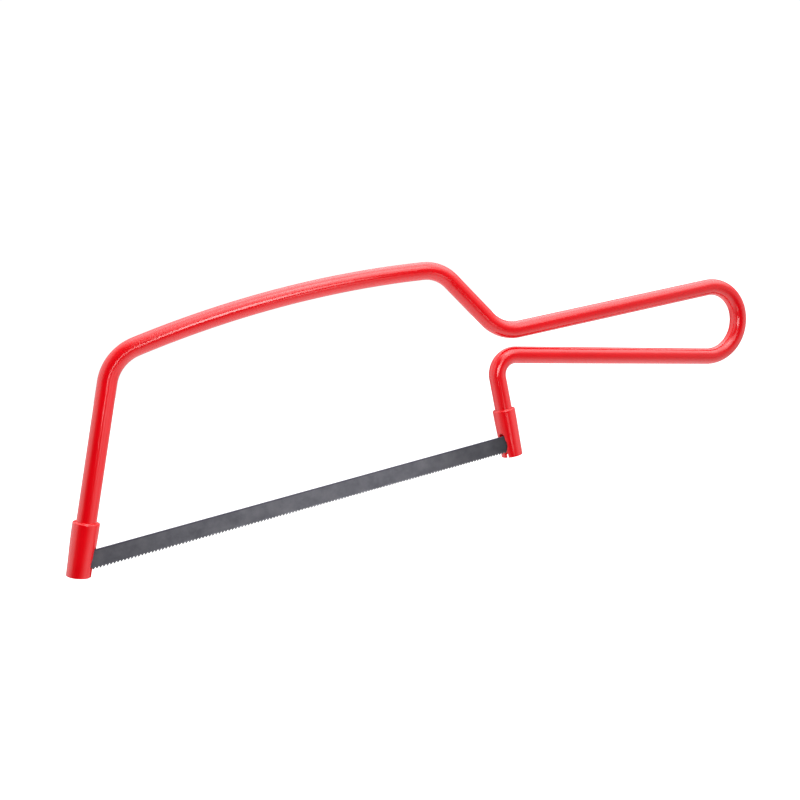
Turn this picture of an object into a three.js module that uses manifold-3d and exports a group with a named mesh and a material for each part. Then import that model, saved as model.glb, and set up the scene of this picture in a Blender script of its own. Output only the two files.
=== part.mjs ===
// Junior hacksaw with a one-piece bent-rod frame.
// Millimetres. +X runs along the blade towards the handle, +Y is across the saw,
// +Z is up, so the blade's teeth point down. The datum used for the drawing below is
// the blade's mid-line, 8.7 mm behind the front sleeve's axis; the whole model is then moved so
// that its origin is the centre of its bounding box.
import * as THREE from 'three';
import { mergeVertices } from 'three/addons/utils/BufferGeometryUtils.js';
import Module from 'manifold-3d';

// ---------------------------------------------------------------- driving dimensions
const DATUM = { x: -115.244, z: -32.235 };   // drawing datum seen from the model's origin

// frame rod: round bar, bent cold in one plane
const ROD_D = 6.0;
const ROD_SIDES = 20;
const ARM_FOOT = { x: -3.794, z: 12.944, heading: 68.12 };   // a point on the front arm's axis
const FRONT_ARM_STRAIGHT = 42.135;
const FRONT_BEND = { r: 14.5, a: -57.65 };                    // radius, turn in degrees (left is +)
const BOW = { r: 349.9, a: -15.90 };
const BOW_SPLIT = 0.5;                                        // where the flexing half of the bow starts
const REAR_BEND = { r: 12.64, a: -50.25 };
const NECK_STRAIGHT = 18.61;
const NECK_BEND = { r: 13.55, a: 54.65 };
const GRIP_TOP_STRAIGHT = 79.39;
const LOOP_BEND_TOP = { r: 12.17, a: -88.74 };
const LOOP_BEND_LOW = { r: 13.69, a: -103.50 };
const GRIP_LOW_STRAIGHT = 79.75;
const POST_BEND = { r: 6.77, a: 102.88 };
const POST_END_Z = 4.9;                                       // rod's end inside the rear sleeve
const ARM_END_W = 5.9;                                        // rod's end inside the front sleeve
const FLEX_GAP = 0.36;                                        // parting gap in the middle of the bow
const ROD_CHAMFER = 0.5;

// sleeves: short tubes pressed over the rod's two ends
const SLEEVE_L = 16.9;
const FRONT_SLEEVE_R = { top: 4.05, low: 3.70 };
const REAR_SLEEVE_R = { top: 3.97, low: 3.74 };
const SLEEVE_BORE_R = 3.12;
const SLEEVE_EDGE = 0.35;
const SLEEVE_LOW_EDGE = 0.22;
const SLEEVE_SIDES = 40;
const SLOT_W = 1.0;                                           // sawn slot in the wall facing the other sleeve
const FRONT_SLOT = { y: -1.35, top: 5.45 };                   // slot centre across, slot's end along the axis
const REAR_SLOT = { y: -2.20, top: 4.00 };
const STOP_HOLE_R = 0.95;                                     // drilled end of the slot
const PIN_NOTCH = { d: 0.28, low: -1.5, high: 1.7 };          // relief in the slot's near edge
const FRONT_AXIS_X = -8.993;                                  // sleeve axes where they cross the blade's mid-line
const REAR_AXIS_X = 138.504;
const FRONT_LOW_W = -4.26;                                    // sleeves' lower ends along their own axes
const REAR_LOW_W = -4.85;

// blade: hardened strip, 24 teeth to the inch
const BLADE_L = 150.0;
const BLADE_X0 = -10.05;
const BLADE_T = 0.65;
const BLADE_TOP = 3.13;
const TOOTH_TIP = -2.87;
const TOOTH_DEPTH = 0.62;
const TOOTH_PITCH = 25.4 / 24;
const TOOTH_END_LAND = 4.0;                                   // plain length at each end
const BLADE_END_R = 2.1;
const PIN_D = 2.0;
const PIN_HOLE_D = 2.24;
const PIN_NEAR = 0.08;                                        // riveted side, almost flush
const PIN_FAR = 2.6;                                          // side that bears on the sleeve
const FRONT_PIN_X = -7.15;
const REAR_PIN_X = 137.10;

// ---------------------------------------------------------------- materials
const paint = () => new THREE.MeshStandardMaterial({ color: 0xd81018, roughness: 0.32, metalness: 0.0 });
const blackSteel = () => new THREE.MeshStandardMaterial({ color: 0x47474a, roughness: 0.42, metalness: 0.8 });
const pinSteel = () => new THREE.MeshStandardMaterial({ color: 0x6a6a6c, roughness: 0.35, metalness: 0.9 });

// ---------------------------------------------------------------- manifold helpers
const wasm = await Module();
wasm.setup();
function solid(geometry) {
  let g = geometry.clone();
  if (g.index) g = g.toNonIndexed();
  for (const k of Object.keys(g.attributes)) if (k !== 'position') g.deleteAttribute(k);
  g = mergeVertices(g, 1e-4);
  return new wasm.Manifold(new wasm.Mesh({
    numProp: 3,
    vertProperties: new Float32Array(g.attributes.position.array),
    triVerts: new Uint32Array(g.index.array),
  }));
}
function toGeometry(man) {
  const m = man.getMesh();
  const g = new THREE.BufferGeometry();
  const pos = new Float32Array(m.numVert * 3);
  for (let i = 0; i < m.numVert; i++) for (let k = 0; k < 3; k++) pos[3 * i + k] = m.vertProperties[m.numProp * i + k];
  g.setAttribute('position', new THREE.BufferAttribute(pos, 3));
  g.setIndex(new THREE.BufferAttribute(new Uint32Array(m.triVerts), 1));
  g.computeVertexNormals();
  return g;
}
const rad = THREE.MathUtils.degToRad;

// ---------------------------------------------------------------- bent rod
// The rod is written as a bender's table: straight, bend, straight, bend ...
class BentRod extends THREE.Curve {
  constructor(x, z, heading) {
    super();
    this.stations = [];
    this.x = x; this.z = z; this.h = rad(heading);
    this.mark();
  }
  mark() { this.stations.push({ p: new THREE.Vector3(this.x, 0, this.z), h: this.h }); }
  straight(l) {
    this.x += l * Math.cos(this.h); this.z += l * Math.sin(this.h);
    this.mark();
    return this;
  }
  bend(r, a, steps) {
    const turn = rad(a), s = Math.sign(turn), h0 = this.h;
    const cx = this.x - s * r * Math.sin(h0), cz = this.z + s * r * Math.cos(h0);
    for (let i = 1; i <= steps; i++) {
      this.h = h0 + turn * i / steps;
      this.x = cx + s * r * Math.sin(this.h);
      this.z = cz - s * r * Math.cos(this.h);
      this.mark();
    }
    return this;
  }
  at(t) {
    const n = this.stations.length - 1;
    const f = Math.min(Math.max(t * n, 0), n), i = Math.min(Math.floor(f + 1e-9), n - 1);
    return { a: this.stations[i], b: this.stations[i + 1], k: Math.max(f - i, 0) };
  }
  getPoint(t, target = new THREE.Vector3()) {
    const { a, b, k } = this.at(t);
    return target.lerpVectors(a.p, b.p, k);
  }
  getTangent(t, target = new THREE.Vector3()) {
    const { a, b, k } = this.at(t), h = a.h + (b.h - a.h) * k;
    return target.set(Math.cos(h), 0, Math.sin(h));
  }
  getPointAt(u, target) { return this.getPoint(u, target); }
  getTangentAt(u, target) { return this.getTangent(u, target); }
  getSpacedPoints(n) { return this.getPoints(n); }
}
function rodSection() {
  const pts = [];
  for (let i = 0; i < ROD_SIDES; i++) {
    const a = 2 * Math.PI * i / ROD_SIDES;
    pts.push(new THREE.Vector2(ROD_D / 2 * Math.cos(a), ROD_D / 2 * Math.sin(a)));
  }
  return new THREE.Shape(pts);
}
function rodGeometry(path) {
  return new THREE.ExtrudeGeometry(rodSection(), {
    steps: path.stations.length - 1, extrudePath: path, curveSegments: 1,
  });
}

// A long, straight start is added at each rod end and cut back, so that the end faces are square.
const foot = { x: FRONT_AXIS_X, z: 0, h: rad(ARM_FOOT.heading) };
const armLow = new THREE.Vector2(foot.x + ARM_END_W * Math.cos(foot.h), ARM_END_W * Math.sin(foot.h));
const armLength = FRONT_ARM_STRAIGHT + Math.hypot(ARM_FOOT.x - armLow.x, ARM_FOOT.z - armLow.y);
const bowGapAngle = FLEX_GAP / BOW.r * 180 / Math.PI;
const frontHalf = Math.abs(BOW.a) * BOW_SPLIT - bowGapAngle / 2;
const rearHalf = Math.abs(BOW.a) * (1 - BOW_SPLIT) - bowGapAngle / 2;

const armPath = new BentRod(armLow.x, armLow.y, ARM_FOOT.heading)
  .straight(armLength)
  .bend(FRONT_BEND.r, FRONT_BEND.a, 9)
  .bend(BOW.r, -frontHalf, 8);

const probe = new BentRod(armLow.x, armLow.y, ARM_FOOT.heading)
  .straight(armLength)
  .bend(FRONT_BEND.r, FRONT_BEND.a, 9)
  .bend(BOW.r, -(Math.abs(BOW.a) * BOW_SPLIT + bowGapAngle / 2), 8);
const framePath = new BentRod(probe.x, probe.z, THREE.MathUtils.radToDeg(probe.h))
  .bend(BOW.r, -rearHalf, 8)
  .bend(REAR_BEND.r, REAR_BEND.a, 8)
  .straight(NECK_STRAIGHT)
  .bend(NECK_BEND.r, NECK_BEND.a, 8)
  .straight(GRIP_TOP_STRAIGHT)
  .bend(LOOP_BEND_TOP.r, LOOP_BEND_TOP.a, 12)
  .bend(LOOP_BEND_LOW.r, LOOP_BEND_LOW.a, 14)
  .straight(GRIP_LOW_STRAIGHT)
  .bend(POST_BEND.r, POST_BEND.a, 14);
framePath.straight((framePath.z - POST_END_Z) / Math.abs(Math.sin(framePath.h)));
const postLean = framePath.h - rad(-90);                       // small lean of the rear post
const postFoot = { x: framePath.x - framePath.z / Math.tan(framePath.h), h: framePath.h + Math.PI };

// ---------------------------------------------------------------- sleeves
// Local frame of a sleeve: +Y along its axis (up), +X towards the other sleeve, +Z is the saw's -Y side
// until it is placed. w is measured along the axis from where it crosses the blade's mid-line.
function sleeveBlank(lowW, outer) {
  const e = SLEEVE_EDGE, d = SLEEVE_LOW_EDGE, rL = outer.low, rT = outer.top, b = SLEEVE_BORE_R, L = SLEEVE_L;
  const p = [];
  const c = 0.12;
  p.push([b + 0.04, 0]);
  p.push([rL - d, 0]);
  for (const a of [30, 60]) p.push([rL - d + d * Math.sin(rad(a)), d - d * Math.cos(rad(a))]);
  p.push([rL, d]);
  p.push([rL + (rT - rL) * 0.45, L * 0.45]);
  p.push([rT, L * 0.86]);
  p.push([rT, L - e]);
  for (const a of [22.5, 45, 67.5]) p.push([rT - e + e * Math.cos(rad(a)), L - e + e * Math.sin(rad(a))]);
  p.push([rT - e, L]);
  p.push([b + c, L]);
  p.push([b, L - c]);
  p.push([b, 0.06]);
  p.push([b + 0.04, 0]);
  const g = new THREE.LatheGeometry(p.map(([x, y]) => new THREE.Vector2(x, y + lowW)), SLEEVE_SIDES);
  return solid(g);
}
function box(x0, x1, y0, y1, z0, z1) {
  const g = new THREE.BoxGeometry(x1 - x0, y1 - y0, z1 - z0);
  g.translate((x0 + x1) / 2, (y0 + y1) / 2, (z0 + z1) / 2);
  return solid(g);
}
// side: across coordinate of the slot in the local frame; facing: +1 or -1, the way to the other sleeve
function sleeveGeometry(lowW, outer, slotTop, across, facing, nearSign) {
  const low = lowW - 1;
  const reach0 = 0.6, reach1 = 5.5;
  const x0 = facing > 0 ? reach0 : -reach1, x1 = facing > 0 ? reach1 : -reach0;
  const near = across + nearSign * SLOT_W / 2;
  let s = sleeveBlank(lowW, outer);
  const notchFar = near + nearSign * PIN_NOTCH.d;
  const cut = box(x0, x1, low, slotTop - STOP_HOLE_R, across - SLOT_W / 2, across + SLOT_W / 2);
  s = s.subtract(cut);
  const hole = new THREE.CylinderGeometry(STOP_HOLE_R, STOP_HOLE_R, reach1 - reach0, 20);
  hole.rotateZ(Math.PI / 2);
  hole.translate((x0 + x1) / 2, slotTop - STOP_HOLE_R, near - nearSign * STOP_HOLE_R);
  s = s.subtract(solid(hole));
  const notch = box(x0, x1, PIN_NOTCH.low, PIN_NOTCH.high, Math.min(near - nearSign * 0.2, notchFar), Math.max(near - nearSign * 0.2, notchFar));
  s = s.subtract(notch);
  return toGeometry(s);
}
// Place a local sleeve: local +Y goes along the axis heading h, local +X across it in the saw's plane,
// local +Z becomes the saw's -Y.
function placeSleeve(mesh, x, h) {
  const up = new THREE.Vector3(Math.cos(h), 0, Math.sin(h));
  const side = new THREE.Vector3(Math.sin(h), 0, -Math.cos(h));
  const m = new THREE.Matrix4().makeBasis(side, up, new THREE.Vector3().crossVectors(side, up));
  mesh.quaternion.setFromRotationMatrix(m);
  mesh.position.set(x, 0, 0);
}

// ---------------------------------------------------------------- blade
function bladeGeometry() {
  const x0 = BLADE_X0, x1 = BLADE_X0 + BLADE_L, top = BLADE_TOP, root = TOOTH_TIP + TOOTH_DEPTH;
  const s = new THREE.Shape();
  const r = BLADE_END_R, k = 5;
  const pts = [];
  const arc = (cx, cy, a0, a1) => { for (let i = 0; i <= k; i++) { const a = rad(a0 + (a1 - a0) * i / k); pts.push([cx + r * Math.cos(a), cy + r * Math.sin(a)]); } };
  const low = root + 0.12;
  arc(x1 - r, low + r, -90, 0);
  arc(x1 - r, top - r, 0, 90);
  arc(x0 + r, top - r, 90, 180);
  arc(x0 + r, low + r, 180, 270);
  // teeth: steep face towards the front, long back towards the handle
  const n = Math.floor((BLADE_L - 2 * TOOTH_END_LAND) / TOOTH_PITCH);
  const start = (x0 + x1) / 2 - n * TOOTH_PITCH / 2;
  pts.push([start, low]);
  for (let i = 0; i < n; i++) {
    const a = start + i * TOOTH_PITCH;
    pts.push([a + 0.04, TOOTH_TIP]);
    pts.push([a + 0.30 * TOOTH_PITCH, TOOTH_TIP + 0.16 * TOOTH_DEPTH]);
    pts.push([a + TOOTH_PITCH - 0.05, root]);
  }
  pts.push([start + n * TOOTH_PITCH, low]);
  s.setFromPoints(pts.map(([x, y]) => new THREE.Vector2(x, y)));
  for (const px of [FRONT_PIN_X, REAR_PIN_X]) {
    const h = new THREE.Path();
    const hp = [];
    for (let i = 0; i < 16; i++) { const a = -2 * Math.PI * i / 16; hp.push(new THREE.Vector2(px + PIN_HOLE_D / 2 * Math.cos(a), PIN_HOLE_D / 2 * Math.sin(a))); }
    h.setFromPoints(hp);
    s.holes.push(h);
  }
  const g = new THREE.ExtrudeGeometry(s, { depth: BLADE_T, bevelEnabled: false, curveSegments: 1 });
  g.rotateX(Math.PI / 2);                 // shape's y becomes +Z, its depth runs along -Y
  g.translate(0, BLADE_T / 2, 0);
  return g;
}
function pinGeometry(x) {
  const r = PIN_D / 2, c = 0.2, y0 = -(BLADE_T / 2 + PIN_NEAR), y1 = BLADE_T / 2 + PIN_FAR;
  const p = [[0, y0], [r - 0.05, y0], [r, y0 + 0.05], [r, y1 - c], [r - c, y1], [0, y1]];
  const g = new THREE.LatheGeometry(p.map(([a, b]) => new THREE.Vector2(a, b)), 20);
  g.translate(x, 0, 0);
  return g;
}

// ---------------------------------------------------------------- assembly
const saw = new THREE.Group();
saw.position.set(DATUM.x, 0, DATUM.z);
function add(name, geometry, material, parent = saw) {
  const m = new THREE.Mesh(geometry, material);
  m.name = name;
  parent.add(m);
  return m;
}
add('frame_rod', rodGeometry(framePath), paint());
add('front_arm_rod', rodGeometry(armPath), paint());

// placed sleeves: local +Z is the saw's -Y, so a slot at y has local z = -y
const frontSleeve = add('front_sleeve', sleeveGeometry(FRONT_LOW_W, FRONT_SLEEVE_R, FRONT_SLOT.top, -FRONT_SLOT.y, 1, 1), paint());
placeSleeve(frontSleeve, FRONT_AXIS_X, foot.h);
const rearSleeve = add('rear_sleeve', sleeveGeometry(REAR_LOW_W, REAR_SLEEVE_R, REAR_SLOT.top, -REAR_SLOT.y, -1, 1), paint());
placeSleeve(rearSleeve, postFoot.x, postFoot.h);

// the blade lies in its two slots, so it stands a little askew across the frame
const bladeGroup = new THREE.Group();
const yaw = Math.atan2(REAR_SLOT.y - FRONT_SLOT.y, REAR_AXIS_X - FRONT_AXIS_X);
bladeGroup.rotation.z = yaw;
const midX = (FRONT_AXIS_X + REAR_AXIS_X) / 2;
bladeGroup.position.set(midX - midX * Math.cos(yaw), (FRONT_SLOT.y + REAR_SLOT.y) / 2 - midX * Math.sin(yaw), 0);
saw.add(bladeGroup);
add('blade', bladeGeometry(), blackSteel(), bladeGroup);
add('front_blade_pin', pinGeometry(FRONT_PIN_X), pinSteel(), bladeGroup);
add('rear_blade_pin', pinGeometry(REAR_PIN_X), pinSteel(), bladeGroup);

export default saw;
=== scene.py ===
# Junior hacksaw: the looks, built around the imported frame. Metres, same frame as the CAD.
import math

import bmesh
import bpy
from mathutils import Matrix, Vector, noise


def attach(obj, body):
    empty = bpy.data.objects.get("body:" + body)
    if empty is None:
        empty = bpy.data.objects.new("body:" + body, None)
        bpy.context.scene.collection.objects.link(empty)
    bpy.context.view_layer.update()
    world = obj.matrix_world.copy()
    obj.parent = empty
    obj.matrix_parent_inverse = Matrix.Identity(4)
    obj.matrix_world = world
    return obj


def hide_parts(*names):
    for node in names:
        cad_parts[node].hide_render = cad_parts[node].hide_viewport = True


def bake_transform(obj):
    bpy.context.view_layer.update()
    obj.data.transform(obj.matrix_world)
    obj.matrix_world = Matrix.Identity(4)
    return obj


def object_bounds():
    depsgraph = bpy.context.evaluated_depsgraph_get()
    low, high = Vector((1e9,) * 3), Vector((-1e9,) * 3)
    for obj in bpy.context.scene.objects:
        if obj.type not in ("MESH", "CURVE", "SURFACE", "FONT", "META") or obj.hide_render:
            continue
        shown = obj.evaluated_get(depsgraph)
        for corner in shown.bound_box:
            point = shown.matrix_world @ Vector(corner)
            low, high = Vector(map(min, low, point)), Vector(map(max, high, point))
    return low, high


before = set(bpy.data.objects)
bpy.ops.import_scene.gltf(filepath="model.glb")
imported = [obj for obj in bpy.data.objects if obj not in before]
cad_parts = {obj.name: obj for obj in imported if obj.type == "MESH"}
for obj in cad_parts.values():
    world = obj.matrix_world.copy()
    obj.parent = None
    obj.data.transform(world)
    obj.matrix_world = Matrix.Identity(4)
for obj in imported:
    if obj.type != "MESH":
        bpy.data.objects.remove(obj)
CAD_BOUNDS = [list(v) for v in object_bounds()]
MM = 0.001

# ------------------------------------------------------------------ drawing, as in the CAD (mm)
DATUM = (-115.244, -32.235)
ROD_R = 3.0
FRONT_AXIS_X, REAR_AXIS_X = -8.993, 138.504
ARM_END_W = 5.9
POST_END_Z = 4.9
HEADING = 68.12
ARM_FOOT = (-3.794, 12.944)
FRONT_ARM_STRAIGHT = 42.135
FRONT_BEND = (14.5, -57.65)
BOW = (349.9, -15.90)
REAR_BEND = (12.64, -50.25)
NECK_STRAIGHT = 18.61
NECK_BEND = (13.55, 54.65)
GRIP_TOP_STRAIGHT = 79.39
LOOP_TOP = (12.17, -88.74)
LOOP_LOW = (13.69, -103.50)
GRIP_LOW_STRAIGHT = 79.75
POST_BEND = (6.77, 102.88)

SLEEVE_L, SLEEVE_BORE = 16.9, 3.12
FRONT_SLEEVE_R, REAR_SLEEVE_R = (4.05, 3.70), (3.97, 3.74)
SLOT_W = 1.0
FRONT_SLOT = (-1.35, 5.45)
REAR_SLOT = (-2.20, 4.00)
STOP_R = 0.95
NOTCH = (0.28, -1.5, 1.7)
FRONT_LOW_W, REAR_LOW_W = -4.26, -4.85

BLADE_L, BLADE_X0, BLADE_T, BLADE_TOP = 150.0, -10.05, 0.65, 3.13
TOOTH_TIP, TOOTH_DEPTH, PITCH, TOOTH_LAND, BLADE_END_R = -2.87, 0.62, 25.4 / 24, 4.0, 2.1
PIN_R, PIN_NEAR, PIN_FAR = 1.0, 0.08, 2.6
FRONT_PIN_X, REAR_PIN_X = -7.15, 137.10


def mesh_object(name, verts, faces, smooth=True):
    me = bpy.data.meshes.new(name)
    me.from_pydata([tuple(v) for v in verts], [], faces)
    me.validate()
    me.update()
    for p in me.polygons:
        p.use_smooth = smooth
    ob = bpy.data.objects.new(name, me)
    bpy.context.scene.collection.objects.link(ob)
    return ob


def to_world(x, y, z):
    return Vector(((x + DATUM[0]) * MM, y * MM, (z + DATUM[1]) * MM))


# ------------------------------------------------------------------ bent rod path
class Path:
    def __init__(self, x, z, heading):
        self.x, self.z, self.h, self.s = x, z, math.radians(heading), 0.0
        self.st = [(self.x, self.z, self.h, 0.0, 0.0)]

    def straight(self, length, step=2.0):
        n = max(1, int(round(length / step)))
        for i in range(n):
            self.x += length / n * math.cos(self.h)
            self.z += length / n * math.sin(self.h)
            self.s += length / n
            self.st.append((self.x, self.z, self.h, self.s, 0.0))
        return self

    def bend(self, rb, step=3.0):
        r, a = rb
        turn = math.radians(a)
        sg = math.copysign(1, turn)
        n = max(6, int(math.ceil(abs(a) / step)), int(abs(turn) * r / 2.0))
        h0 = self.h
        cx, cz = self.x - sg * r * math.sin(h0), self.z + sg * r * math.cos(h0)
        for i in range(1, n + 1):
            self.h = h0 + turn * i / n
            self.x = cx + sg * r * math.sin(self.h)
            self.z = cz - sg * r * math.cos(self.h)
            self.s += abs(turn) * r / n
            self.st.append((self.x, self.z, self.h, self.s, sg / r))
        return self


h = math.radians(HEADING)
low = (FRONT_AXIS_X + ARM_END_W * math.cos(h), ARM_END_W * math.sin(h))
arm_len = FRONT_ARM_STRAIGHT + math.hypot(ARM_FOOT[0] - low[0], ARM_FOOT[1] - low[1])
rod = Path(low[0], low[1], HEADING)
rod.straight(arm_len).bend(FRONT_BEND).bend(BOW, 0.5).bend(REAR_BEND).straight(NECK_STRAIGHT)
rod.bend(NECK_BEND).straight(GRIP_TOP_STRAIGHT).bend(LOOP_TOP).bend(LOOP_LOW)
rod.straight(GRIP_LOW_STRAIGHT).bend(POST_BEND)
rod.straight((rod.z - POST_END_Z) / abs(math.sin(rod.h)))
POST_HEADING = rod.h + math.pi


def rod_mesh(name, sides=56):
    verts, faces = [], []
    st = rod.st
    # rounded cut ends: the first and last rings step in
    rings = []
    c = 0.45
    x, z, hh, s, k = st[0]
    rings.append((x, z, hh, ROD_R - c))
    rings.append((x + 0.12 * math.cos(hh), z + 0.12 * math.sin(hh), hh, ROD_R - 0.22))
    rings.append((x + c * math.cos(hh), z + c * math.sin(hh), hh, ROD_R))
    for x, z, hh, s, k in st[1:-1]:
        rings.append((x, z, hh, ROD_R))
    x, z, hh, s, k = st[-1]
    rings.append((x - c * math.cos(hh), z - c * math.sin(hh), hh, ROD_R))
    rings.append((x - 0.12 * math.cos(hh), z - 0.12 * math.sin(hh), hh, ROD_R - 0.22))
    rings.append((x, z, hh, ROD_R - c))
    for x, z, hh, r in rings:
        nx, nz = -math.sin(hh), math.cos(hh)
        for j in range(sides):
            a = 2 * math.pi * j / sides
            verts.append(to_world(x + r * math.cos(a) * nx, r * math.sin(a), z + r * math.cos(a) * nz))
    n = len(rings)
    for i in range(n - 1):
        for j in range(sides):
            k = (j + 1) % sides
            faces.append((i * sides + j, (i + 1) * sides + j, (i + 1) * sides + k, i * sides + k))
    faces.append(tuple(range(sides)))
    faces.append(tuple((n - 1) * sides + j for j in reversed(range(sides))))
    return mesh_object(name, verts, faces)


# ------------------------------------------------------------------ sleeves
def lathe(name, profile, sides, closed=True):
    """profile: (radius, w) pairs in mm about the local Z axis; returns verts and faces."""
    verts, faces = [], []
    m = len(profile)
    for r, w in profile:
        for j in range(sides):
            a = 2 * math.pi * j / sides
            verts.append((r * math.cos(a), r * math.sin(a), w))
    for i in range(m if closed else m - 1):
        ii = (i + 1) % m
        for j in range(sides):
            k = (j + 1) % sides
            faces.append((i * sides + j, i * sides + k, ii * sides + k, ii * sides + j))
    return verts, faces


def sleeve(name, low_w, outer, slot, facing, axis_x, heading):
    """A tube in its own frame (local X towards the other sleeve, local Y the saw's Y, local Z up the axis), then placed."""
    e, d, rl, rt, b, L = 0.35, 0.22, outer[1], outer[0], SLEEVE_BORE, SLEEVE_L
    prof = [(b + 0.04, 0.0), (rl - d, 0.0)]
    for a in (15, 30, 45, 60, 75):
        t = math.radians(a)
        prof.append((rl - d + d * math.sin(t), d - d * math.cos(t)))
    prof.append((rl, d))
    for f in (0.15, 0.3, 0.45, 0.6, 0.75, 0.86, 0.93):
        g = min(1.0, f / 0.86)
        prof.append((rl + (rt - rl) * g * g * (3 - 2 * g), L * f))
    prof.append((rt, L - e))
    for a in (15, 30, 45, 60, 75):
        t = math.radians(a)
        prof.append((rt - e + e * math.cos(t), L - e + e * math.sin(t)))
    # the mouth is countersunk, which leaves only a narrow rim
    prof += [(rt - e, L), (rt - e - 0.10, L - 0.03), (b + 0.20, L - 0.38), (b, L - 0.52), (b, L * 0.5), (b, 0.06)]
    v, f = lathe(name, [(r, w + low_w) for r, w in prof], 128)
    body = mesh_object(name, [Vector(p) * MM for p in v], f)
    # cutter: slot with drilled end and pin relief, as one outline in the plane across the wall
    yc, top = slot
    near, far = yc - SLOT_W / 2, yc + SLOT_W / 2
    cy, cz = near + STOP_R, top - STOP_R
    out = [(far, low_w - 1.0)]
    # up the far edge to the drilled hole, round it, down the near edge
    a0 = math.asin(max(-1.0, min(1.0, (far - cy) / STOP_R)))
    zc = cz - math.sqrt(max(0.0, STOP_R**2 - (far - cy) ** 2))
    out.append((far, zc))
    start = math.atan2(zc - cz, far - cy)
    end = math.pi
    steps = 28
    for i in range(1, steps + 1):
        a = start + (end - start) * i / steps
        out.append((cy + STOP_R * math.cos(a), cz + STOP_R * math.sin(a)))
    n0, n1, n2 = NOTCH
    rr = 0.35
    out.append((near, n2 + 0.25))
    for i in range(7):
        t = math.pi * i / 6
        out.append((near - n0 * math.sin(t) ** 0.6 if 0 < i < 6 else near, n2 + (n1 - n2) * (i / 6)))
    out.append((near, n1 - 0.25))
    out.append((near, low_w - 1.0))
    x0, x1 = (0.6, 5.5) if facing > 0 else (-5.5, -0.6)
    cv = [Vector((x0, y, z)) * MM for y, z in out] + [Vector((x1, y, z)) * MM for y, z in out]
    m = len(out)
    cf = [tuple(range(m)), tuple(reversed(range(m, 2 * m)))]
    for i in range(m):
        k = (i + 1) % m
        cf.append((i, i + m, k + m, k))
    cutter = mesh_object(name + "_cutter", cv, cf)
    bm = bmesh.new()
    bm.from_mesh(cutter.data)
    bmesh.ops.recalc_face_normals(bm, faces=bm.faces)
    bm.to_mesh(cutter.data)
    bm.free()
    bm = bmesh.new()
    bm.from_mesh(body.data)
    bmesh.ops.recalc_face_normals(bm, faces=bm.faces)
    bm.to_mesh(body.data)
    bm.free()
    mod = body.modifiers.new("slot", "BOOLEAN")
    mod.operation = "DIFFERENCE"
    mod.solver = "EXACT"
    mod.object = cutter
    bev = body.modifiers.new("edges", "BEVEL")
    bev.width = 0.11 * MM
    bev.segments = 3
    bev.limit_method = "ANGLE"
    bev.angle_limit = math.radians(38)
    bev.use_clamp_overlap = True
    bev.harden_normals = False
    dg = bpy.context.evaluated_depsgraph_get()
    me = bpy.data.meshes.new_from_object(body.evaluated_get(dg))
    body.modifiers.clear()
    body.data = me
    bpy.data.objects.remove(cutter)
    for p in me.polygons:
        p.use_smooth = True
    # place: local Z goes along the heading, local X across it
    up = Vector((math.cos(heading), 0, math.sin(heading)))
    side = Vector((math.sin(heading), 0, -math.cos(heading)))
    M = Matrix((
        (side.x, 0, up.x, (axis_x + DATUM[0]) * MM),
        (0, 1, 0, 0),
        (side.z, 0, up.z, DATUM[1] * MM),
        (0, 0, 0, 1),
    ))
    me.transform(M)
    me.update()
    return body, M


# ------------------------------------------------------------------ blade
BLADE_YAW = math.atan2(REAR_SLOT[0] - FRONT_SLOT[0], REAR_AXIS_X - FRONT_AXIS_X)
MID_X = (FRONT_AXIS_X + REAR_AXIS_X) / 2
BM = (
    Matrix.Translation(Vector((DATUM[0], 0, DATUM[1])) * MM)
    @ Matrix.Translation(Vector((MID_X - MID_X * math.cos(BLADE_YAW), (REAR_SLOT[0] + FRONT_SLOT[0]) / 2 - MID_X * math.sin(BLADE_YAW), 0)) * MM)
    @ Matrix.Rotation(BLADE_YAW, 4, "Z")
)


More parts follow.
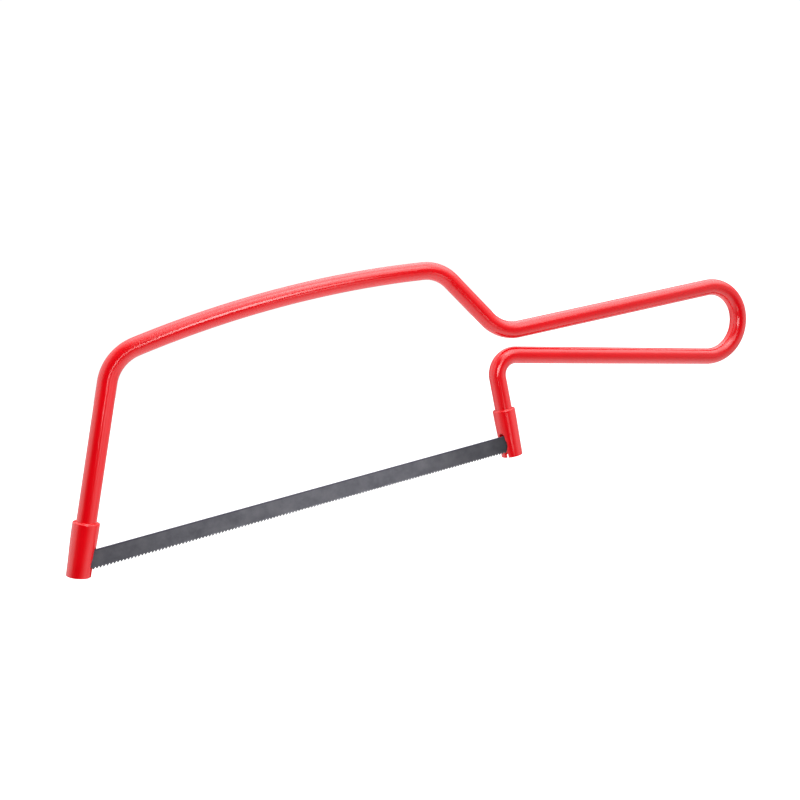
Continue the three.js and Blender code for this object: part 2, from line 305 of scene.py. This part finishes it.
def blade_mesh(name):
    x0, x1 = BLADE_X0, BLADE_X0 + BLADE_L
    root = TOOTH_TIP + TOOTH_DEPTH
    low = root + 0.12
    r = BLADE_END_R
    cols = []  # (x, z_low)
    for i in range(13):
        t = math.radians(90 * i / 12)
        cols.append((x0 + r - r * math.cos(t), low + r - r * math.sin(t)))
    n = int((BLADE_L - 2 * TOOTH_LAND) / PITCH)
    start = (x0 + x1) / 2 - n * PITCH / 2
    cols.append((start - 1.0, low))
    cols.append((start, low))
    for i in range(n):
        a = start + i * PITCH
        cols.append((a + 0.05, TOOTH_TIP))
        cols.append((a + 0.28 * PITCH, TOOTH_TIP + 0.13 * TOOTH_DEPTH))
        cols.append((a + 0.66 * PITCH, TOOTH_TIP + 0.62 * TOOTH_DEPTH))
        cols.append((a + 0.84 * PITCH, root - 0.03))
        cols.append((a + 0.95 * PITCH, root))
        cols.append((a + PITCH - 0.01, root - 0.08 if i < n - 1 else low))
    cols.append((start + n * PITCH + 1.0, low))
    for i in range(13):
        t = math.radians(90 - 90 * i / 12)
        cols.append((x1 - r + r * math.cos(t), low + r - r * math.sin(t)))

    def top_of(x):
        d = min(x - x0, x1 - x)
        if d >= r:
            return BLADE_TOP
        return BLADE_TOP - r + math.sqrt(max(0.0, r * r - (r - d) ** 2))

    set_z = -1.75
    lam = PITCH * 8
    verts, faces = [], []
    rows = 9
    for side in (-1, 1):
        for x, zl in cols:
            zt = top_of(x)
            teeth = max(0.0, min(1.0, min(x - x0 - 3.5, x1 - x - 3.5) / 2.0))
            zs = [zt, zt - 0.10, zt - 0.4]
            zm = min(0.0, zt - 0.5)
            zs += [max(zm, zl + 0.6), max(min(set_z, zt - 0.6), zl + 0.4), max(root + 0.25, zl + 0.22), max(root + 0.05, zl + 0.12), zl + 0.06, zl]
            for q in range(1, rows):
                zs[q] = min(zs[q], zs[q - 1] - 1e-4)
            for q, z in enumerate(zs):
                t = BLADE_T / 2
                if q == 0:
                    t -= 0.09
                if q == 1:
                    t -= 0.0
                if q == rows - 1:
                    t -= 0.07
                k = max(0.0, (set_z - z) / (set_z - TOOTH_TIP))
                off = teeth * 0.17 * math.sin(2 * math.pi * x / lam) * k * k
                verts.append(BM @ (Vector((x, side * t + off, z)) * MM))
    nc = len(cols)

    def vid(sd, c, q):
        return (sd * nc + c) * rows + q

    for c in range(nc - 1):
        for q in range(rows - 1):
            faces.append((vid(0, c, q), vid(0, c, q + 1), vid(0, c + 1, q + 1), vid(0, c + 1, q)))
            faces.append((vid(1, c, q), vid(1, c + 1, q), vid(1, c + 1, q + 1), vid(1, c, q + 1)))
        faces.append((vid(0, c, 0), vid(0, c + 1, 0), vid(1, c + 1, 0), vid(1, c, 0)))
        faces.append((vid(0, c, rows - 1), vid(1, c, rows - 1), vid(1, c + 1, rows - 1), vid(0, c + 1, rows - 1)))
    for c in (0, nc - 1):
        for q in range(rows - 1):
            f = (vid(0, c, q), vid(1, c, q), vid(1, c, q + 1), vid(0, c, q + 1))
            faces.append(f if c == 0 else tuple(reversed(f)))
    ob = mesh_object(name, verts, faces)
    bm = bmesh.new()
    bm.from_mesh(ob.data)
    bmesh.ops.recalc_face_normals(bm, faces=bm.faces)
    for ed in bm.edges:
        if len(ed.link_faces) == 2 and ed.calc_face_angle(0) > math.radians(28):
            ed.smooth = False
    bm.to_mesh(ob.data)
    bm.free()
    return ob


def pin_mesh(name, x):
    """A turned pin, riveted over on the near side and chamfered on the far side."""
    r = PIN_R
    y0, y1 = -(BLADE_T / 2 + PIN_NEAR), BLADE_T / 2 + PIN_FAR
    prof = [(0.55, y0), (0.8, y0 + 0.004), (0.93, y0 + 0.02), (r, y0 + 0.06), (r, 0.0), (r, y1 - 0.22), (r - 0.03, y1 - 0.13), (r - 0.1, y1 - 0.05), (r - 0.22, y1), (0.3, y1 + 0.0)]
    v, f = lathe(name, prof, 48, closed=False)
    v.append((0, 0, y0))
    v.append((0, 0, y1))
    n = len(prof)
    for j in range(48):
        k = (j + 1) % 48
        f.append((len(v) - 2, k, j))
        f.append((len(v) - 1, (n - 1) * 48 + j, (n - 1) * 48 + k))
    # local Z -> blade's Y
    R = Matrix(((1, 0, 0, 0), (0, 0, 1, 0), (0, -1, 0, 0), (0, 0, 0, 1)))
    ob = mesh_object(name, [BM @ ((R @ Vector(p) + Vector((x, 0, 0))) * MM) for p in v], f)
    bm = bmesh.new()
    bm.from_mesh(ob.data)
    bmesh.ops.recalc_face_normals(bm, faces=bm.faces)
    for ed in bm.edges:
        if len(ed.link_faces) == 2 and ed.calc_face_angle(0) > math.radians(35):
            ed.smooth = False
    bm.to_mesh(ob.data)
    bm.free()
    return ob


def fillet_mesh(name, M, top_w):
    """The paint drawn into the corner where the sleeve's mouth meets the rod."""
    prof = [(2.90, -0.8), (2.90, 0.10), (3.010, 0.08), (3.03, -0.04), (3.07, -0.14), (3.14, -0.22), (3.24, -0.26), (3.38, -0.24), (3.36, -0.36), (3.08, -0.8)]
    sides = 96
    verts, faces = [], []
    m = len(prof)
    for i, (r, w) in enumerate(prof):
        for j in range(sides):
            a = 2 * math.pi * j / sides
            # the fillet is a little uneven, as drawn by wet paint
            k = noise.noise(Vector((math.cos(a) * 1.3, math.sin(a) * 1.3, top_w)))
            ww = w + 0.07 * k if 2 <= i <= 5 else w
            verts.append(M @ (Vector((r * math.cos(a), r * math.sin(a), top_w + ww)) * MM))
    for i in range(m):
        ii = (i + 1) % m
        for j in range(sides):
            k = (j + 1) % sides
            faces.append((i * sides + j, i * sides + k, ii * sides + k, ii * sides + j))
    ob = mesh_object(name, verts, faces)
    bm = bmesh.new()
    bm.from_mesh(ob.data)
    bmesh.ops.recalc_face_normals(bm, faces=bm.faces)
    bm.to_mesh(ob.data)
    bm.free()
    return ob


def bead_mesh(name, M, radius, w, angle, half):
    """A small drop of paint set on the sleeve's rim; half is (along the rim, up, outwards) in mm."""
    a = math.radians(angle)
    out, along = Vector((math.cos(a), math.sin(a), 0)), Vector((-math.sin(a), math.cos(a), 0))
    rows, sides = 10, 24
    verts, faces = [], []
    for i in range(1, rows):
        t = math.pi * i / rows
        for j in range(sides):
            q = 2 * math.pi * j / sides
            p = out * radius + Vector((0, 0, w)) + along * half[0] * math.cos(t)
            p = p + Vector((0, 0, 1)) * half[1] * math.sin(t) * math.cos(q) + out * half[2] * math.sin(t) * math.sin(q)
            verts.append(M @ (p * MM))
    for i in range(rows - 2):
        for j in range(sides):
            k = (j + 1) % sides
            faces.append((i * sides + j, i * sides + k, (i + 1) * sides + k, (i + 1) * sides + j))
    for t, base in ((0.0, 0), (math.pi, (rows - 2) * sides)):
        verts.append(M @ ((out * radius + Vector((0, 0, w)) + along * half[0] * math.cos(t)) * MM))
        for j in range(sides):
            k = (j + 1) % sides
            faces.append((len(verts) - 1, base + k, base + j) if t == 0.0 else (len(verts) - 1, base + j, base + k))
    ob = mesh_object(name, verts, faces)
    bm = bmesh.new()
    bm.from_mesh(ob.data)
    bmesh.ops.recalc_face_normals(bm, faces=bm.faces)
    bm.to_mesh(ob.data)
    bm.free()
    return ob


# ------------------------------------------------------------------ materials
def nodes_of(name):
    m = bpy.data.materials.new(name)
    m.use_nodes = True
    nt = m.node_tree
    nt.nodes.clear()
    out = nt.nodes.new("ShaderNodeOutputMaterial")
    b = nt.nodes.new("ShaderNodeBsdfPrincipled")
    nt.links.new(b.outputs[0], out.inputs[0])
    return m, nt, b


def N(nt, kind, **kw):
    n = nt.nodes.new(kind)
    for k, v in kw.items():
        if k in n.inputs:
            n.inputs[k].default_value = v
        else:
            setattr(n, k, v)
    return n


def ramp(nt, fac, stops):
    r = nt.nodes.new("ShaderNodeValToRGB")
    while len(r.color_ramp.elements) > 1:
        r.color_ramp.elements.remove(r.color_ramp.elements[-1])
    for i, (p, c) in enumerate(stops):
        e = r.color_ramp.elements[0] if i == 0 else r.color_ramp.elements.new(p)
        e.position = p
        e.color = (*c, 1) if len(c) == 3 else c
    nt.links.new(fac, r.inputs[0])
    return r


def paint_material(name):
    m, nt, b = nodes_of(name)
    tc = N(nt, "ShaderNodeTexCoord")
    # slow colour drift, as a dipped coat has
    n1 = N(nt, "ShaderNodeTexNoise", Scale=70.0, Detail=3.0, Roughness=0.55)
    nt.links.new(tc.outputs["Object"], n1.inputs["Vector"])
    c1 = ramp(nt, n1.outputs["Fac"], [(0.30, (0.77, 0.0016, 0.006)), (0.55, (0.81, 0.0022, 0.007)), (0.80, (0.85, 0.003, 0.008))])
    nt.links.new(c1.outputs["Color"], b.inputs["Base Color"])
    # orange peel
    peel = N(nt, "ShaderNodeTexNoise", Scale=1700.0, Detail=2.0, Roughness=0.5)
    nt.links.new(tc.outputs["Object"], peel.inputs["Vector"])
    fine = N(nt, "ShaderNodeTexVoronoi", Scale=1500.0, feature="SMOOTH_F1")
    nt.links.new(tc.outputs["Object"], fine.inputs["Vector"])
    mix = N(nt, "ShaderNodeMath", operation="ADD")
    mul = N(nt, "ShaderNodeMath", operation="MULTIPLY")
    mul.inputs[1].default_value = 0.35
    nt.links.new(fine.outputs["Distance"], mul.inputs[0])
    nt.links.new(peel.outputs["Fac"], mix.inputs[0])
    nt.links.new(mul.outputs[0], mix.inputs[1])
    bump = N(nt, "ShaderNodeBump", Strength=0.24, Distance=0.00012)
    nt.links.new(mix.outputs[0], bump.inputs["Height"])
    nt.links.new(bump.outputs[0], b.inputs["Normal"])
    # roughness varies a little
    n2 = N(nt, "ShaderNodeTexNoise", Scale=300.0, Detail=4.0, Roughness=0.6)
    nt.links.new(tc.outputs["Object"], n2.inputs["Vector"])
    r2 = N(nt, "ShaderNodeMapRange")
    r2.inputs["To Min"].default_value = 0.12
    r2.inputs["To Max"].default_value = 0.20
    nt.links.new(n2.outputs["Fac"], r2.inputs["Value"])
    nt.links.new(r2.outputs[0], b.inputs["Roughness"])
    b.inputs["IOR"].default_value = 1.5
    b.inputs["Specular IOR Level"].default_value = 0.85
    return m


def blade_material(name):
    m, nt, b = nodes_of(name)
    tc = N(nt, "ShaderNodeTexCoord")
    mp = N(nt, "ShaderNodeMapping")
    mp.inputs["Scale"].default_value = (60, 400, 900)
    nt.links.new(tc.outputs["Object"], mp.inputs["Vector"])
    n1 = N(nt, "ShaderNodeTexNoise", Scale=1.0, Detail=5.0, Roughness=0.6)
    nt.links.new(mp.outputs[0], n1.inputs["Vector"])
    n2 = N(nt, "ShaderNodeTexNoise", Scale=260.0, Detail=4.0, Roughness=0.6)
    nt.links.new(tc.outputs["Object"], n2.inputs["Vector"])
    c = ramp(nt, n2.outputs["Fac"], [(0.3, (0.130, 0.130, 0.150)), (0.5, (0.165, 0.164, 0.186)), (0.75, (0.205, 0.202, 0.222))])
    xyz = N(nt, "ShaderNodeSeparateXYZ")
    nt.links.new(tc.outputs["Object"], xyz.inputs[0])
    # painted light and shade: the blade is painted lighter along the middle and darker towards the handle, mostly
    # standing in for how the studio light reflects along it rather than for wear of the finish
    along = N(nt, "ShaderNodeMapRange")
    for key, v in (("From Min", -0.125), ("From Max", 0.025), ("To Min", 0.0), ("To Max", 1.0)):
        along.inputs[key].default_value = v
    nt.links.new(xyz.outputs[0], along.inputs["Value"])
    # painted light along the blade: bright stops in the middle, dark stops towards the handle end
    painted_light_ramp = ramp(nt, along.outputs[0], [(0.0, (0.80,) * 3), (0.28, (0.92,) * 3), (0.74, (0.93,) * 3), (0.86, (0.64,) * 3), (0.925, (0.58,) * 3), (0.97, (0.36,) * 3)])
    painted_light_gain = N(nt, "ShaderNodeMath", operation="MULTIPLY")
    painted_light_gain.inputs[1].default_value = 1.25
    nt.links.new(painted_light_ramp.outputs["Color"], painted_light_gain.inputs[0])
    shade = N(nt, "ShaderNodeVectorMath", operation="SCALE")
    nt.links.new(c.outputs["Color"], shade.inputs[0])
    nt.links.new(painted_light_gain.outputs[0], shade.inputs["Scale"])
    # heat-blued along the back
    back = N(nt, "ShaderNodeMapRange")
    for key, v in (("From Min", (DATUM[1] + BLADE_TOP - 0.55) * MM), ("From Max", (DATUM[1] + BLADE_TOP - 0.12) * MM), ("To Min", 0.0), ("To Max", 0.75)):
        back.inputs[key].default_value = v
    nt.links.new(xyz.outputs[2], back.inputs["Value"])
    blue = N(nt, "ShaderNodeMix", data_type="RGBA")
    nt.links.new(back.outputs[0], blue.inputs["Factor"])
    nt.links.new(shade.outputs[0], blue.inputs[6])
    blue.inputs[7].default_value = (0.055, 0.052, 0.085, 1)
    nt.links.new(blue.outputs[2], b.inputs["Base Color"])
    r = N(nt, "ShaderNodeMapRange")
    r.inputs["To Min"].default_value = 0.38
    r.inputs["To Max"].default_value = 0.55
    nt.links.new(n1.outputs["Fac"], r.inputs["Value"])
    nt.links.new(r.outputs[0], b.inputs["Roughness"])
    bump = N(nt, "ShaderNodeBump", Strength=0.25, Distance=0.00003)
    nt.links.new(n1.outputs["Fac"], bump.inputs["Height"])
    nt.links.new(bump.outputs[0], b.inputs["Normal"])
    b.inputs["Metallic"].default_value = 0.75
    return m


def pin_material(name):
    m, nt, b = nodes_of(name)
    tc = N(nt, "ShaderNodeTexCoord")
    n2 = N(nt, "ShaderNodeTexNoise", Scale=900.0, Detail=4.0, Roughness=0.6)
    nt.links.new(tc.outputs["Object"], n2.inputs["Vector"])
    c = ramp(nt, n2.outputs["Fac"], [(0.3, (0.10, 0.10, 0.105)), (0.7, (0.2, 0.2, 0.205))])
    nt.links.new(c.outputs["Color"], b.inputs["Base Color"])
    b.inputs["Metallic"].default_value = 0.9
    b.inputs["Roughness"].default_value = 0.4
    return m


PAINT = paint_material("red_paint_finish")
STEEL = blade_material("blued_steel_finish")
PIN = pin_material("pin_steel_finish")

# ------------------------------------------------------------------ pieces
rod_ob = rod_mesh("bent_rod")
rod_ob.data.materials.append(PAINT)
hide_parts("frame_rod", "front_arm_rod")
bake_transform(rod_ob)

front_ob, FM = sleeve("front_sleeve_tube", FRONT_LOW_W, FRONT_SLEEVE_R, FRONT_SLOT, 1, FRONT_AXIS_X, math.radians(HEADING))
rear_ob, RM = sleeve("rear_sleeve_tube", REAR_LOW_W, REAR_SLEEVE_R, REAR_SLOT, -1, REAR_AXIS_X, POST_HEADING)
for ob, node, body in ((front_ob, "front_sleeve", "front_arm"), (rear_ob, "rear_sleeve", "frame")):
    ob.data.materials.clear()
    ob.data.materials.append(PAINT)
    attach(ob, body)
    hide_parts(node)
for nm, M, lw, body in (("front_sleeve_paint_fillet", FM, FRONT_LOW_W, "front_arm"), ("rear_sleeve_paint_fillet", RM, REAR_LOW_W, "frame")):
    f = fillet_mesh(nm, M, lw + SLEEVE_L)
    f.data.materials.append(PAINT)
    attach(f, body)

bead = bead_mesh("front_sleeve_paint_bead", FM, FRONT_SLEEVE_R[0] - 0.24, FRONT_LOW_W + SLEEVE_L - 0.16, -78.0, (0.62, 0.17, 0.20))
bead.data.materials.append(PAINT)
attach(bead, "front_arm")

blade_ob = blade_mesh("saw_blade")
blade_ob.data.materials.append(STEEL)
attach(blade_ob, "blade")
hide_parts("blade")
for nm, x, node in (("front_pin", FRONT_PIN_X, "front_blade_pin"), ("rear_pin", REAR_PIN_X, "rear_blade_pin")):
    p = pin_mesh(nm, x)
    p.data.materials.append(PIN)
    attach(p, "blade")
    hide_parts(node)

# ------------------------------------------------------------------ stage
# the table lies below the blade's full drop, so the freed blade stays in sight
BLADE_DROP = 14.0
lowest = min(CAD_BOUNDS[0][2], (DATUM[1] + TOOTH_TIP - BLADE_DROP) * MM) - 0.0004
corner, tx0, tx1, ty0, ty1 = 0.08, -0.75, 0.75, -0.24, 0.95
pts = []
for cx, cy, a0 in ((tx1 - corner, ty0 + corner, -90), (tx1 - corner, ty1 - corner, 0), (tx0 + corner, ty1 - corner, 90), (tx0 + corner, ty0 + corner, 180)):
    for i in range(9):
        t = math.radians(a0 + 90 * i / 8)
        pts.append((cx + corner * math.cos(t), cy + corner * math.sin(t)))
nt_ = len(pts)
floor = mesh_object(
    "floor",
    [(x, y, lowest) for x, y in pts] + [(x, y, lowest - 0.02) for x, y in pts],
    [tuple(range(nt_)), tuple(reversed(range(nt_, 2 * nt_)))] + [(i, i + nt_, (i + 1) % nt_ + nt_, (i + 1) % nt_) for i in range(nt_)],
    smooth=False,
)
fm, fnt, fb = nodes_of("studio_floor")
fb.inputs["Base Color"].default_value = (0.30, 0.30, 0.30, 1)
fb.inputs["Roughness"].default_value = 0.9
fb.inputs["Specular IOR Level"].default_value = 0.0
fb.inputs["Emission Color"].default_value = (1, 1, 1, 1)
fb.inputs["Emission Strength"].default_value = 0.95
floor.data.materials.append(fm)
# the saw is lit by the studio walls below; the table only shows
floor.visible_glossy = False
floor.visible_diffuse = False
floor.visible_shadow = False


def heading(az, el):
    """0 is the viewer's side (-Y), 90 is +X."""
    a, e = math.radians(az), math.radians(el)
    return Vector((math.sin(a) * math.cos(e), -math.cos(a) * math.cos(e), math.sin(e)))


world = bpy.data.worlds.new("studio")
bpy.context.scene.world = world
world.use_nodes = True
wnt = world.node_tree
wnt.nodes.clear()
wo = wnt.nodes.new("ShaderNodeOutputWorld")
lp = wnt.nodes.new("ShaderNodeLightPath")
wtc = wnt.nodes.new("ShaderNodeTexCoord")


def wmath(op, a, b):
    n = wnt.nodes.new("ShaderNodeMath")
    n.operation = op
    for i, v in enumerate((a, b)):
        if isinstance(v, (int, float)):
            n.inputs[i].default_value = v
        else:
            wnt.links.new(v, n.inputs[i])
    return n.outputs[0]


def lobe(az, el, inner, outer, strength):
    """A soft round patch of light on the studio's walls."""
    d = wnt.nodes.new("ShaderNodeVectorMath")
    d.operation = "DOT_PRODUCT"
    wnt.links.new(wtc.outputs["Generated"], d.inputs[0])
    d.inputs[1].default_value = heading(az, el)
    m = wnt.nodes.new("ShaderNodeMapRange")
    m.interpolation_type = "SMOOTHSTEP"
    m.inputs["From Min"].default_value = math.cos(math.radians(outer))
    m.inputs["From Max"].default_value = math.cos(math.radians(inner))
    m.inputs["To Min"].default_value = 0.0
    m.inputs["To Max"].default_value = strength
    wnt.links.new(d.outputs["Value"], m.inputs["Value"])
    return m.outputs[0]


ROOM = 0.115
total = ROOM
for az, el, inner, outer, strength in (
    (180, 5, 30, 80, 0.30),        # the backdrop behind the saw
    (-105, 25, 20, 52, 1.05),      # left wall
    (85, 66, 14, 58, 2.5),         # ceiling panel, to the right
    (70, 15, 20, 50, 0.42),        # right wall
    (-110, -72, 12, 80, 1.2),      # the lit table
    (95, -35, 15, 55, 0.45),       # bounce from the right
    (170, 60, 10, 45, 0.9),        # top of the backdrop
    (50, -24, 8, 32, 0.31),        # low bounce, front right
):
    total = wmath("ADD", lobe(az, el, inner, outer, strength), total)
dark = wmath("SUBTRACT", 1.0, lobe(-13, 1, 20, 40, 1.0))
total = wmath("MULTIPLY", total, dark)
bg_lit = wnt.nodes.new("ShaderNodeBackground")
bg_lit.inputs[0].default_value = (1, 1, 1, 1)
wnt.links.new(total, bg_lit.inputs[1])
bg_cam = wnt.nodes.new("ShaderNodeBackground")
bg_cam.inputs[0].default_value = (1, 1, 1, 1)
bg_cam.inputs[1].default_value = 1.05
mx = wnt.nodes.new("ShaderNodeMixShader")
wnt.links.new(lp.outputs["Is Camera Ray"], mx.inputs[0])
wnt.links.new(bg_lit.outputs[0], mx.inputs[1])
wnt.links.new(bg_cam.outputs[0], mx.inputs[2])
wnt.links.new(mx.outputs[0], wo.inputs[0])


def softbox(name, az, el, wide, high, radiance, dist=1.0):
    """wide and high are the angles it fills, seen from the saw."""
    ld = bpy.data.lights.new(name, "AREA")
    ld.shape = "RECTANGLE"
    ld.size = 2 * dist * math.tan(math.radians(wide / 2))
    ld.size_y = 2 * dist * math.tan(math.radians(high / 2))
    ld.energy = radiance * math.pi * ld.size * ld.size_y
    ob = bpy.data.objects.new(name, ld)
    bpy.context.scene.collection.objects.link(ob)
    d = heading(az, el)
    ob.location = d * dist
    ob.rotation_euler = (-d).to_track_quat("-Z", "Y").to_euler()
    ob.visible_camera = False
    return ob


softbox("key_softbox", 1, 42, 22, 44, 1.35)
softbox("key_softbox_right", 23, 42, 22, 44, 1.6)


def panel(name, centre, wide, high, radiance):
    """An upright panel facing the saw (+Y)."""
    ld = bpy.data.lights.new(name, "AREA")
    ld.shape = "RECTANGLE"
    ld.size, ld.size_y = wide, high
    ld.energy = radiance * math.pi * wide * high
    ob = bpy.data.objects.new(name, ld)
    bpy.context.scene.collection.objects.link(ob)
    ob.location = centre
    ob.rotation_euler = Vector((0, 1, 0)).to_track_quat("-Z", "Z").to_euler()
    ob.visible_camera = False
    return ob


panel("front_panel", (-0.038, -0.235, 0.043), 0.076, 0.082, 6.4)
panel("front_panel_fade", (0.024, -0.235, 0.043), 0.046, 0.082, 2.8)
panel("front_strip", (-0.084, -0.235, -0.010), 0.013, 0.050, 6.5)
panel("low_reflector", (0.030, -0.205, -0.074), 0.070, 0.050, 0.9)
panel("low_reflector_edge", (0.014, -0.203, -0.074), 0.012, 0.050, 1.6)

# ------------------------------------------------------------------ camera
cam_data = bpy.data.cameras.new("camera")
cam = bpy.data.objects.new("camera", cam_data)
bpy.context.scene.collection.objects.link(cam)
right = Vector((0.93076, -0.30221, -0.20578)).normalized()
fwd = Vector((0.27741, 0.95035, -0.14097)).normalized()
up = right.cross(fwd).normalized()
fwd = (fwd - right * 0.00049 + up * 0.00052).normalized()
right = fwd.cross(up).normalized()
R = Matrix((right, up, -fwd)).transposed()
cam.matrix_world = Matrix.Translation(Vector((-0.094114, -0.277523, 0.033206))) @ R.to_4x4()
cam_data.sensor_width = 36.0
cam_data.lens = 36.0 * 860 / 800
cam_data.clip_start = 0.001
cam_data.clip_end = 20.0
bpy.context.scene.camera = cam
bpy.context.scene.view_settings.view_transform = "Standard"
bpy.context.scene.view_settings.look = "None"
